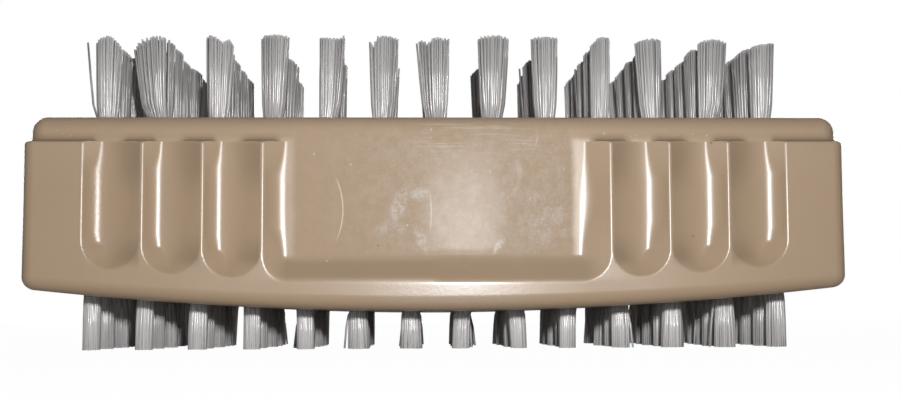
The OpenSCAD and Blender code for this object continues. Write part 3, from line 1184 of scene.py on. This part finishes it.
class Shell:
    """The block's closed surface while it is built: points, faces, and the normals of the faces' corners."""

    def __init__(self, block: HandleBlock, skin: Skin) -> None:
        """Joins the rows of the skin.

        Args:
            block: the block's sizes.
            skin: the skin between the underside and the top.
        """
        self.block, self.count = block, skin.count
        self.points = np.concatenate(skin.points)
        self.faces: list[list[int]] = []
        self.normals: list[Array] = []
        normals = np.concatenate(skin.normals)
        for here in range(0, len(self.points) - self.count, self.count):
            above = here + self.count
            for column in range(self.count):
                after = (column + 1) % self.count
                face = [here + column, here + after, above + after, above + column]
                self.face(face, normals[face])

    def face(self, corners: list[int], normals: Array) -> None:
        """Adds a face with its corners' normals."""
        self.faces.append(corners)
        self.normals.append(normals)

    def cap(self, layout: "TuftLayout", loop_start: int) -> None:
        """Closes the top or the underside round its bores.

        Args:
            layout: the tufts that stand in the bores.
            loop_start: number of the first point of the skin's loop round this cap.
        """
        count, sides, total = self.count, self.block.bore_sides, len(self.points)
        angles = np.arange(sides) * 2 * math.pi / sides
        around = np.stack([np.cos(angles), np.sin(angles)], axis=-1)
        centres = np.array(layout.spots())[:, :2]
        rims = (centres[:, None] + around * (self.block.bore_r + self.block.bore_rim)).reshape(-1, 2)
        plan = np.concatenate([self.points[loop_start : loop_start + count, :2], rims])
        edges = [(i, (i + 1) % count) for i in range(count)]
        for first in range(count, len(plan), sides):
            edges += [(first + i, first + (i + 1) % sides) for i in range(sides)]
        result = delaunay_2d_cdt([Vector(spot) for spot in plan], edges, [], 0, TINY)
        origins = [origin[0] if origin else -1 for origin in result[3]]
        normals = layout.normal(plan[:, 0])
        for face in result[2]:
            local = [origins[i] for i in face][:: layout.turn]
            owners = {(i - count) // sides if i >= count else -1 for i in local}
            if len(owners) > 1 or -1 in owners:
                self.face([loop_start + i if i < count else total + i - count for i in local], normals[local])
        self.points = np.concatenate([self.points, np.column_stack([rims, layout.level(rims[:, 0])])])
        self.line(layout, centres, around, total)

    def line(self, layout: "TuftLayout", centres: Array, around: Array, rim_start: int) -> None:
        """Lines the bores: a slanted rim, a wall and a floor for each.

        Args:
            layout: the tufts that stand in the bores.
            centres: the bores' middles in plan.
            around: the directions of a bore's sides.
            rim_start: number of the first point of the first bore's rim.
        """
        block, turn, sides, bores = self.block, layout.turn, len(around), len(centres)
        mouths = layout.level(centres[:, 0])
        ring = (centres[:, None] + around * block.bore_r).reshape(-1, 2)
        levels = [np.repeat(mouths, sides) - turn * z for z in (block.bore_rim, block.bore_depth)]
        rings = [np.column_stack([ring, level]) for level in levels]
        floors = np.column_stack([centres, mouths - turn * block.bore_depth])
        self.points = np.concatenate([self.points, *rings, floors])
        inward = np.column_stack([-around, np.zeros(sides)])
        out = np.array([0.0, 0.0, float(turn)])
        slanted = unit(inward + out)
        for bore in range(bores):
            mouth, wall, foot = (rim_start + (bore + step * bores) * sides for step in range(3))
            floor = rim_start + 3 * bores * sides + bore
            for i in range(sides):
                after = (i + 1) % sides
                for a, b, normals in ((mouth, wall, slanted), (wall, foot, inward)):
                    corner = [i, i, after, after][::turn]
                    self.face([a + i, b + i, b + after, a + after][::turn], normals[corner])
                self.face([foot + i, floor, foot + after][::-turn], np.tile(out, (3, 1)))


# ---------------------------------------------------------------- tufts


@dataclass(frozen=True)
class TuftLayout:
    """Where the tufts of one side stand."""

    columns: int
    pitch: float
    free: float
    turn: int
    rows: int = 5
    row_pitch: float = 6.4
    top_z: float = 27.2
    belly: Belly = field(default_factory=Belly)

    @classmethod
    def upper(cls) -> "TuftLayout":
        """The long tufts on top."""
        return cls(columns=13, pitch=80 / 12, free=10.86, turn=1)

    @classmethod
    def lower(cls) -> "TuftLayout":
        """The short tufts below."""
        return cls(columns=14, pitch=82.9 / 13, free=4.5, turn=-1)

    def level(self, x: Array) -> Array:
        """Heights of the block's surface at places along the brush."""
        return np.full_like(x, self.top_z) if self.turn > 0 else self.belly.height(x)

    def normal(self, x: Array) -> Array:
        """Normals of the block's surface at places along the brush."""
        return np.tile([0.0, 0.0, 1.0], (len(x), 1)) if self.turn > 0 else self.belly.normal(x)

    def row(self, row: int) -> list[Triple]:
        """Mouths of the bores of one row.

        Args:
            row: the row, from the front.

        Returns:
            Their middles, from the left to the right.
        """
        x = (np.arange(self.columns) - (self.columns - 1) / 2) * self.pitch
        y = (row - (self.rows - 1) / 2) * self.row_pitch
        return [(float(along), y, float(z)) for along, z in zip(x, self.level(x))]

    def spots(self) -> list[Triple]:
        """Mouths of the bores of all the rows."""
        return [spot for row in range(self.rows) for spot in self.row(row)]


@dataclass(frozen=True)
class TuftShape:
    """How one tuft stands: how far its tips lean along the row, half its width there, and how uneven its cut is.

    The cut is given as drops below the full height, at equal steps from the tuft's left edge to its right.
    """

    lean: float
    half: float
    drops: tuple[float, ...]


@dataclass(frozen=True)
class Stray:
    """A filament of the front row that stands apart from its tuft.

    The lean is its tip's, turn says where in the bore it stands, and drop how much shorter it is.
    """

    column: int
    lean: float
    turn: float
    drop: float


UPPER_STRAYS = (
    Stray(0, -1.9, 3.1, 0.6),
    Stray(1, -1.3, 3.3, 0.7),
    Stray(1, -1.75, 2.9, 2.6),
    Stray(12, 1.1, 0.1, 0.6),
)
UPPER_FRONT = (
    TuftShape(0.0, 1.7, (0.86, 0.59, 0.30, 0.05, 0.11, 0.73, 1.70)),
    TuftShape(-1.15, 2.55, (1.70, 1.02, 0.54, 0.29, 0.12, 0.25, 0.90)),
    TuftShape(0.13, 1.85, (0.00, 0.00, 0.05, 0.35, 0.90, 0.30, 1.30)),
    TuftShape(0.38, 1.85, (0.45, 0.00, 0.00, 0.02, 0.05, 0.05, 0.10)),
    TuftShape(0.65, 1.75, (0.05, 0.10, 0.17, 0.23, 0.19, 0.06, 0.00)),
    TuftShape(0.18, 1.95, (0.00, 1.10, 0.00, 0.00, 0.00, 0.05, 0.10)),
    TuftShape(-0.34, 2.10, (0.63, 0.40, 1.00, 0.25, 0.25, 0.25, 0.24)),
    TuftShape(0.30, 2.15, (0.30, 0.09, 0.00, 0.00, 0.01, 0.03, 0.04)),
    TuftShape(0.00, 1.85, (0.09, 0.07, 0.05, 0.03, 0.00, 0.00, 0.00)),
    TuftShape(0.23, 1.30, (1.07, 0.64, 0.22, 0.01, 0.03, 0.05, 0.06)),
    TuftShape(-0.45, 1.70, (0.62, 0.39, 0.23, 0.21, 0.19, 0.17, 0.15)),
    TuftShape(0.74, 1.85, (0.78, 0.38, 0.33, 0.28, 0.40, 0.53, 0.65)),
    TuftShape(0.26, 1.65, (1.39, 1.06, 0.95, 0.87, 0.79, 0.71, 0.63)),
)


class Salt(Enum):
    """What tells one random value of the filaments from the others."""

    PULL = 11
    STRAY = 23
    LOOSE = 31
    UNEVEN = 41
    BUNCH_DROP = 47
    TONE = 53
    BOW = 59
    BUNCH_TONE = 67


class BristleTree:
    """The Geometry Nodes tree that turns one point for each tuft into its filaments.

    The filaments of a tuft are gathered in sectors, the bunches, which share a pull, a drop and a tone.
    """

    SOCKETS = {
        "Geometry": ("Geometry",),
        "Int": ("Sides", "Segments", "Seed"),
        "Float": ("Root Radius", "Filament Radius", "Buried", "Direction", "Ragged", "Loose", "Clump", "Tone"),
        "Material": ("Material",),
    }
    GOLDEN_ANGLE = 2.39996
    FULL_TURN = 6.28319
    SECTORS = 5.0
    TURN_KEY, BUNCH_KEY = 1000.0, 8.0  # make a bunch's number from its tuft's turn and its sector
    LOOSE_PULL, OWN_PULL = 0.9, 0.03  # how far a loose tip and any tip strays
    BOW = 0.05
    OUTWARD_FALL = -0.1
    UNEVEN_SHARE, BUNCH_SHARE, LOOSE_SHARE = 0.5, 0.5, 0.4  # parts of the ragged drop
    TONE_SPREAD = 0.5
    SWELL_POWER, SWELL_SHARE = 9.0, 0.5  # the quick spread above the mouth, and its part of the whole
    TAPER, TAPER_FROM = 0.12, 0.97

    def __init__(self) -> None:
        """Builds the tree."""
        self.group = bpy.data.node_groups.new("bristle_row", "GeometryNodeTree")
        face = self.group.interface
        face.new_socket("Geometry", in_out="OUTPUT", socket_type="NodeSocketGeometry")
        self.inputs = {
            name: face.new_socket(name, in_out="INPUT", socket_type=f"NodeSocket{kind}").identifier
            for kind, names in self.SOCKETS.items()
            for name in names
        }
        self.tree = Tree(self.group)
        self.given = self.tree.add("NodeGroupInput")
        self.grow(self.scatter())

    def random(self, low: Any, high: Any, number: Wire, salt: Salt) -> Wire:
        """A random value for a number, a vector where the lowest value is one.

        Args:
            low: lowest value.
            high: highest value.
            number: the filament's or the bunch's number.
            salt: which random value it is.

        Returns:
            The value.
        """
        vector = isinstance(low, tuple)
        first, output, data_type = (0, 0, "FLOAT_VECTOR") if vector else (2, 1, "FLOAT")
        inputs = {first: low, first + 1: high, 7: number, 8: self.given["Seed"] + salt.value}
        return self.tree.add("FunctionNodeRandomValue", {"data_type": data_type}, inputs, output)

    def named(self, name: str, kind: str = "FLOAT") -> Wire:
        """A named attribute of the points."""
        return self.tree.add("GeometryNodeInputNamedAttribute", {"data_type": kind}, {"Name": name})

    def named_vector(self, name: str) -> Wire:
        """A named vector of the points."""
        return self.named(name, "FLOAT_VECTOR")

    def store(self, geometry: Wire, name: str, value: Wire, kind: str = "FLOAT_VECTOR") -> Wire:
        """Geometry with an attribute stored on its points.

        Args:
            geometry: the geometry.
            name: the attribute's name.
            value: its value.
            kind: its data type.

        Returns:
            The geometry with it.
        """
        inputs = {"Geometry": geometry, "Name": name, "Value": value}
        return self.tree.add("GeometryNodeStoreNamedAttribute", {"data_type": kind, "domain": "POINT"}, inputs)

    def cut(self, tip_x: Wire, half: Wire) -> Wire:
        """How far a filament is cut below the full height.

        Args:
            tip_x: distance of its tip from the middle of the tuft's tips, along the row.
            half: half the tuft's width there.

        Returns:
            The drop between the two nearest places where the tuft's cut is given.
        """
        t, middle = self.tree, float(CUT_STEPS // 2)
        station = t.add("ShaderNodeClamp", inputs={0: tip_x / half * middle + middle, 1: 0.0, 2: 2 * middle})
        return sum(
            self.named(f"cut_{step}") * t.maths("MAXIMUM", 1.0 - abs(station - float(step)), 0.0)
            for step in range(CUT_STEPS)
        )

    def scatter(self) -> Wire:
        """Makes one point for each filament.

        Returns:
            The points, with what the filament's shape and material need.
        """
        t, given = self.tree, self.given
        amount = self.named("filaments", "INT")
        inputs = {"Geometry": given["Geometry"], "Amount": amount}
        copies = t.add("GeometryNodeDuplicateElements", {"domain": "POINT"}, inputs)
        number, order = t.add("GeometryNodeInputIndex"), copies["Duplicate Index"]
        reach, half, turn = self.named("reach"), self.named("half"), self.named("turn")
        lean = self.named_vector("lean")
        room = given["Root Radius"] - given["Filament Radius"]
        radius = t.maths("SQRT", (order + 0.5) / amount) * room
        angle = order * self.GOLDEN_ANGLE + turn
        root = t.vector(t.maths("COSINE", angle) * radius, t.maths("SINE", angle) * radius, 0.0)
        sector = t.maths("FLOOR", t.maths("FRACT", angle / self.FULL_TURN) * self.SECTORS)
        bunch = t.maths("FLOOR", turn * self.TURN_KEY) * self.BUNCH_KEY + sector
        pull = t.scale(self.random((-1, -1, 0), (1, 1, 0), bunch, Salt.PULL), given["Clump"])
        loose = t.maths("LESS_THAN", self.random(0.0, 1.0, number, Salt.LOOSE), given["Loose"])
        strength = loose * self.LOOSE_PULL * MM + self.OWN_PULL * MM
        stray = t.scale(self.random((-1, -1, 0), (1, 1, 0), number, Salt.STRAY), strength)
        fan = t.scale(root, (half - given["Filament Radius"]) / room)
        tip = t.vector_maths("ADD", t.vector_maths("ADD", fan, lean), t.vector_maths("ADD", pull, stray))
        fall = t.vector(0.0, 0.0, given["Direction"] * self.OUTWARD_FALL)
        out = t.vector_maths("ADD", t.scale(root, 1.0 / given["Root Radius"]), fall)
        uneven = self.random(0.0, 1.0, number, Salt.UNEVEN)
        bunch_drop = self.random(0.0, 1.0, bunch, Salt.BUNCH_DROP)
        drop = uneven * uneven * self.UNEVEN_SHARE + bunch_drop * bunch_drop * self.BUNCH_SHARE
        drop = given["Ragged"] * (drop + loose * self.LOOSE_SHARE)
        cut = self.cut(t.parts(t.vector_maths("SUBTRACT", tip, lean))[0], half)
        own_tone = self.random(0.0, self.TONE_SPREAD, number, Salt.TONE)
        tone = own_tone + self.random(0.0, self.TONE_SPREAD, bunch, Salt.BUNCH_TONE) + given["Tone"]
        bow = self.BOW * MM
        points = self.store(copies, "root", root)
        points = self.store(points, "tip", tip)
        points = self.store(points, "length", reach - drop - cut, "FLOAT")
        points = self.store(points, "facing", out)
        points = self.store(points, "tone", tone, "FLOAT")
        points = self.store(points, "bow", self.random((-bow, -bow, 0), (bow, bow, 0), number, Salt.BOW))
        return self.store(points, "mouth", t.add("GeometryNodeInputPosition"))

    def grow(self, points: Wire) -> None:
        """Grows a filament on each point: a tube from its anchor up to its tip.

        Args:
            points: the points.
        """
        t, given, steps = self.tree, self.given, self.given["Segments"]
        size = {"Vertices": given["Sides"], "Side Segments": steps, "Radius": 1.0, "Depth": 1.0}
        tube = t.add("GeometryNodeMeshCylinder", {"fill_type": "TRIANGLE_FAN"}, size)
        tube = self.store(tube, "unit", t.add("GeometryNodeInputPosition"))
        strands = t.add("GeometryNodeInstanceOnPoints", inputs={"Points": points, "Instance": tube})
        strands = t.add("GeometryNodeRealizeInstances", inputs={"Geometry": strands})
        x, y, z = t.parts(self.named_vector("unit"))
        ring = ((z + 0.5) * steps - 1.0) / (steps - 1.0)
        along = t.maths("MAXIMUM", ring, 0.0) ** 2.0
        quick = 1.0 - (1.0 - along) ** self.SWELL_POWER
        swell = quick * self.SWELL_SHARE + along * (1.0 - self.SWELL_SHARE)
        under = t.maths("MINIMUM", ring, 0.0) * (steps - 1.0) * given["Buried"]
        rise = (along * self.named("length") + under) * given["Direction"]
        path = t.mix(Mixed.VECTOR, swell, self.named_vector("root"), self.named_vector("tip"))
        bow = t.scale(self.named_vector("bow"), along * (1.0 - along) * 4.0)
        wide = given["Filament Radius"] * (1.0 - t.smooth(along, self.TAPER_FROM, 1.0) * self.TAPER)
        section = t.vector_maths("ADD", t.vector(x * wide, y * wide, rise), self.named_vector("mouth"))
        spot = t.vector_maths("ADD", t.vector_maths("ADD", path, bow), section)
        strands = self.store(strands, "along", along, "FLOAT")
        strands = t.add("GeometryNodeSetPosition", inputs={"Geometry": strands, "Position": spot})
        strands = t.add("GeometryNodeSetShadeSmooth", inputs={"Geometry": strands})
        dressed = {"Geometry": strands, "Material": given["Material"]}
        t.add("NodeGroupOutput", inputs={"Geometry": t.add("GeometryNodeSetMaterial", inputs=dressed)})


@dataclass
class TuftRows:
    """The rows of tufts of one side of the block."""

    layout: TuftLayout
    word: str
    segments: int
    half: float
    uneven: float
    ragged: float
    loose: float
    clump: float
    tone: float
    front: tuple[TuftShape, ...] = ()
    strays: tuple[Stray, ...] = ()
    dome: tuple[float, ...] = (0.0,) * CUT_STEPS
    seed: int = 7
    seed_step: int = 10
    chance_step: int = 100
    # painted shade: how much darker the inner rows are made, as if shaded by the outer rows
    inner_painted_shade: float = 0.38
    root_r: float = 1.1
    filament_r: float = 0.143
    buried: float = 4.6
    filaments: int = 72
    sides: int = 5
    lean_spread: float = 0.22
    cross_spread: float = 0.15
    half_spread: float = 0.2
    turn_range: float = 6.28

    def shape(self, row: int, column: int, chance: np.random.Generator) -> TuftShape:
        """The stance of one tuft.

        Args:
            row: its row, from the front.
            column: its place along the row.
            chance: the source of random values.

        Returns:
            Its shape.
        """
        wave = np.cumsum(chance.normal(0, self.uneven, CUT_STEPS))
        rolled = TuftShape(
            lean=float(chance.normal(0, self.lean_spread)),
            half=self.half + float(chance.uniform(-self.half_spread, self.half_spread)),
            drops=tuple(float(drop) for drop in wave - wave.min() + np.array(self.dome)),
        )
        return self.front[column] if row == 0 and self.front else rolled

    def points(self, row: int) -> bpy.types.Object:
        """One point for each tuft and stray of a row, with what the tree reads.

        Args:
            row: the row, from the front.

        Returns:
            The object that holds the points.
        """
        chance = np.random.default_rng(self.seed * self.chance_step + row)
        spots = self.layout.row(row)
        shapes = [self.shape(row, column, chance) for column in range(len(spots))]
        turns = [float(chance.uniform(0, self.turn_range)) for _ in shapes]
        counts = [self.filaments] * len(shapes)
        for stray in self.strays if row == 0 else ():
            spots.append(spots[stray.column])
            shapes.append(TuftShape(stray.lean, self.root_r, (stray.drop,) * CUT_STEPS))
            turns.append(stray.turn)
            counts.append(1)
        values = {
            "reach": [(self.layout.free if self.layout.turn > 0 else z) * MM for _, _, z in spots],
            "half": [shape.half * MM for shape in shapes],
            "turn": turns,
        }
        for step in range(CUT_STEPS):
            values[f"cut_{step}"] = [shape.drops[step] * MM for shape in shapes]
        leans = [v * MM for shape in shapes for v in (shape.lean, float(chance.normal(0, self.cross_spread)), 0.0)]
        mesh = bpy.data.meshes.new(f"{self.word}_points")
        mesh.from_pydata([(x * MM, y * MM, z * MM) for x, y, z in spots], [], [])
        for name, numbers in values.items():
            mesh.attributes.new(name, "FLOAT", "POINT").data.foreach_set("value", numbers)
        mesh.attributes.new("filaments", "INT", "POINT").data.foreach_set("value", counts)
        mesh.attributes.new("lean", "FLOAT_VECTOR", "POINT").data.foreach_set("vector", leans)
        return part_object(f"{self.word}_points", mesh)

    def build(self, row: int, tree: BristleTree, finish: bpy.types.Material) -> bpy.types.Object:
        """Grows the filaments of one row.

        Args:
            row: the row, from the front.
            tree: the tree that grows them.
            finish: their material.

        Returns:
            The row's object.
        """
        source = self.points(row)
        inner = 0 < row < self.layout.rows - 1
        grow = source.modifiers.new("grow", "NODES")
        grow.node_group = tree.group
        for name, value in {
            "Sides": self.sides,
            "Segments": self.segments,
            "Root Radius": self.root_r * MM,
            "Filament Radius": self.filament_r * MM,
            "Buried": self.buried * MM,
            "Direction": float(self.layout.turn),
            "Ragged": self.ragged * MM,
            "Loose": self.loose,
            "Clump": self.clump * MM,
            # the inner rows are made darker as painted shade
            "Tone": self.tone - (self.inner_painted_shade if inner else 0.0),
            "Seed": self.seed + row * self.seed_step,
            "Material": finish,
        }.items():
            grow[tree.inputs[name]] = value
        bpy.context.view_layer.update()
        mesh = bpy.data.meshes.new_from_object(source.evaluated_get(bpy.context.evaluated_depsgraph_get()))
        bpy.data.objects.remove(source)
        mesh.name = f"{self.word}_bristles_{row + 1}"
        return part_object(f"{self.word}_bristles_row_{row + 1}", mesh)


# ---------------------------------------------------------------- studio


@dataclass(frozen=True)
class Lamp:
    """A rectangular soft lamp that faces the brush. Its place and size are millimetres and its power is watts."""

    name: str
    place: Triple
    size: Pair
    power: float
    mirrored: bool = True
    aim: Triple = (0.0, 0.0, 18.0)

    def build(self) -> bpy.types.Object:
        """Builds the lamp.

        Returns:
            Its object.
        """
        data = bpy.data.lights.new(self.name, "AREA")
        data.shape, data.energy = "RECTANGLE", self.power
        data.size, data.size_y = (side * MM for side in self.size)
        lamp = part_object(self.name, data)
        spot, aim = Vector(self.place) * MM, Vector(self.aim) * MM
        lamp.matrix_world = Matrix.Translation(spot) @ (aim - spot).to_track_quat("-Z", "Y").to_matrix().to_4x4()
        lamp.visible_glossy = self.mirrored
        return lamp


SOFTBOX = (240.0, 240.0)


@dataclass(frozen=True)
class Studio:
    """The floor, the light and the camera. Angles are degrees."""

    floor_half: float = 900.0
    eye: Triple = (-1.46, -167.29, 3.60)
    yaw: float = 1.838
    pitch: float = 4.0
    roll: float = -0.246
    lens: float = 50.8
    sensor: float = 36.0
    shift: Pair = (-0.0171, 0.0242)
    clip: Pair = (5.0, 10000.0)
    world_level: float = 0.05
    lamps: tuple[Lamp, ...] = (
        Lamp("key_lamp", (8.3, -168.0, 26.0), (6.0, 9.0), 0.19),
        Lamp("bounce_lamp", (-30.0, -120.0, 6.0), (80.0, 20.0), 0.013, mirrored=False),
        Lamp("left_softbox", (-300.0, 540.0, 170.0), SOFTBOX, 1.6),
        Lamp("right_softbox", (300.0, 540.0, 170.0), SOFTBOX, 1.6),
        Lamp("top_softbox", (0.0, 260.0, 460.0), SOFTBOX, 1.0, mirrored=False),
    )

    def floor(self, finish: bpy.types.Material) -> bpy.types.Object:
        """The floor that the brush stands on.

        Args:
            finish: its material.

        Returns:
            The floor's object.
        """
        half = self.floor_half * MM
        mesh = bpy.data.meshes.new("floor_sheet")
        mesh.from_pydata([(-half, -half, 0), (half, -half, 0), (half, half, 0), (-half, half, 0)], [], [(0, 1, 2, 3)])
        mesh.materials.append(finish)
        return part_object("floor", mesh)

    def camera(self) -> None:
        """The camera at the photograph's viewing angle."""
        yaw, pitch, roll = (math.radians(angle) for angle in (self.yaw, self.pitch, self.roll))
        ahead = Vector((math.sin(yaw) * math.cos(pitch), math.cos(yaw) * math.cos(pitch), math.sin(pitch)))
        right = Vector((math.cos(yaw), -math.sin(yaw), 0.0))
        up = right.cross(ahead)
        across = right * math.cos(roll) + up * math.sin(roll)
        above = up * math.cos(roll) - right * math.sin(roll)
        data = bpy.data.cameras.new("camera")
        data.lens, data.sensor_width = self.lens, self.sensor
        data.shift_x, data.shift_y = self.shift
        data.clip_start, data.clip_end = (distance * MM for distance in self.clip)
        camera = part_object("camera", data)
        turn = Matrix((across, above, -ahead)).transposed().to_4x4()
        camera.matrix_world = Matrix.Translation(Vector(self.eye) * MM) @ turn
        bpy.context.scene.camera = camera

    def world(self) -> None:
        """Even light from all round, white to the camera."""
        world = bpy.data.worlds.new("studio")
        world.use_nodes = True
        bpy.context.scene.world = world
        world.node_tree.nodes.clear()
        tree = Tree(world.node_tree)
        seen = tree.white_share()
        level = seen + (1.0 - seen) * self.world_level
        sky = tree.add("ShaderNodeBackground", inputs={"Color": WHITE, "Strength": level})
        tree.add("ShaderNodeOutputWorld", inputs={"Surface": sky})

    def build(self, finish: bpy.types.Material) -> bpy.types.Object:
        """Sets up the studio.

        Args:
            finish: the floor's material.

        Returns:
            The floor's object.
        """
        self.world()
        self.camera()
        for lamp in self.lamps:
            lamp.build()
        bpy.context.scene.view_settings.view_transform = "Standard"
        return self.floor(finish)


def ride(piece: bpy.types.Object, slot: Slot, *nodes: str) -> None:
    """Ties a piece to the frame.

    Args:
        piece: the piece.
        slot: not used.
        nodes: the CAD nodes that it stands for.
    """
    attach(piece, "root")
    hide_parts(*nodes)


def main() -> None:
    """Builds the brush and its studio, and logs the pieces that it makes and dresses."""
    logging.basicConfig(level=logging.INFO, format="%(message)s")
    plastic, nylon, brass = MouldedPlastic().build(), NylonFilament().build(), BrassWire().build()
    block = HandleBlock().build(plastic)
    ride(block, Slot.HANDLE, "handle_block")
    LOG.info("%s: %d faces", block.name, len(block.data.polygons))
    tree = BristleTree()
    upper = TuftRows(
        TuftLayout.upper(),
        "upper",
        segments=5,
        half=1.4,
        uneven=0.15,
        ragged=0.12,
        loose=0.02,
        clump=0.1,
        tone=0.1,
        front=UPPER_FRONT,
        strays=UPPER_STRAYS,
        dome=(1.1, 0.5, 0.1, 0.0, 0.1, 0.5, 1.1),
    )
    lower = TuftRows(
        TuftLayout.lower(),
        "lower",
        segments=4,
        half=1.25,
        uneven=0.0,
        ragged=0.08,
        loose=0.03,
        clump=0.06,
        tone=0.7,
        seed=11,
    )
    for rows in (upper, lower):
        for row in range(rows.layout.rows):
            piece = rows.build(row, tree, nylon)
            ride(piece, Slot.NYLON, f"{rows.word}_tufts_row_{row + 1}")
            LOG.info("%s: %d faces", piece.name, len(piece.data.polygons))
    for name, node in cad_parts.items():
        if "anchors" in name:
            node.data.materials.clear()
            node.data.materials.append(brass)
            LOG.info("%s: dressed", name)
    Studio().build(PaleFloor().build())


if __name__ == "__main__":
    main()
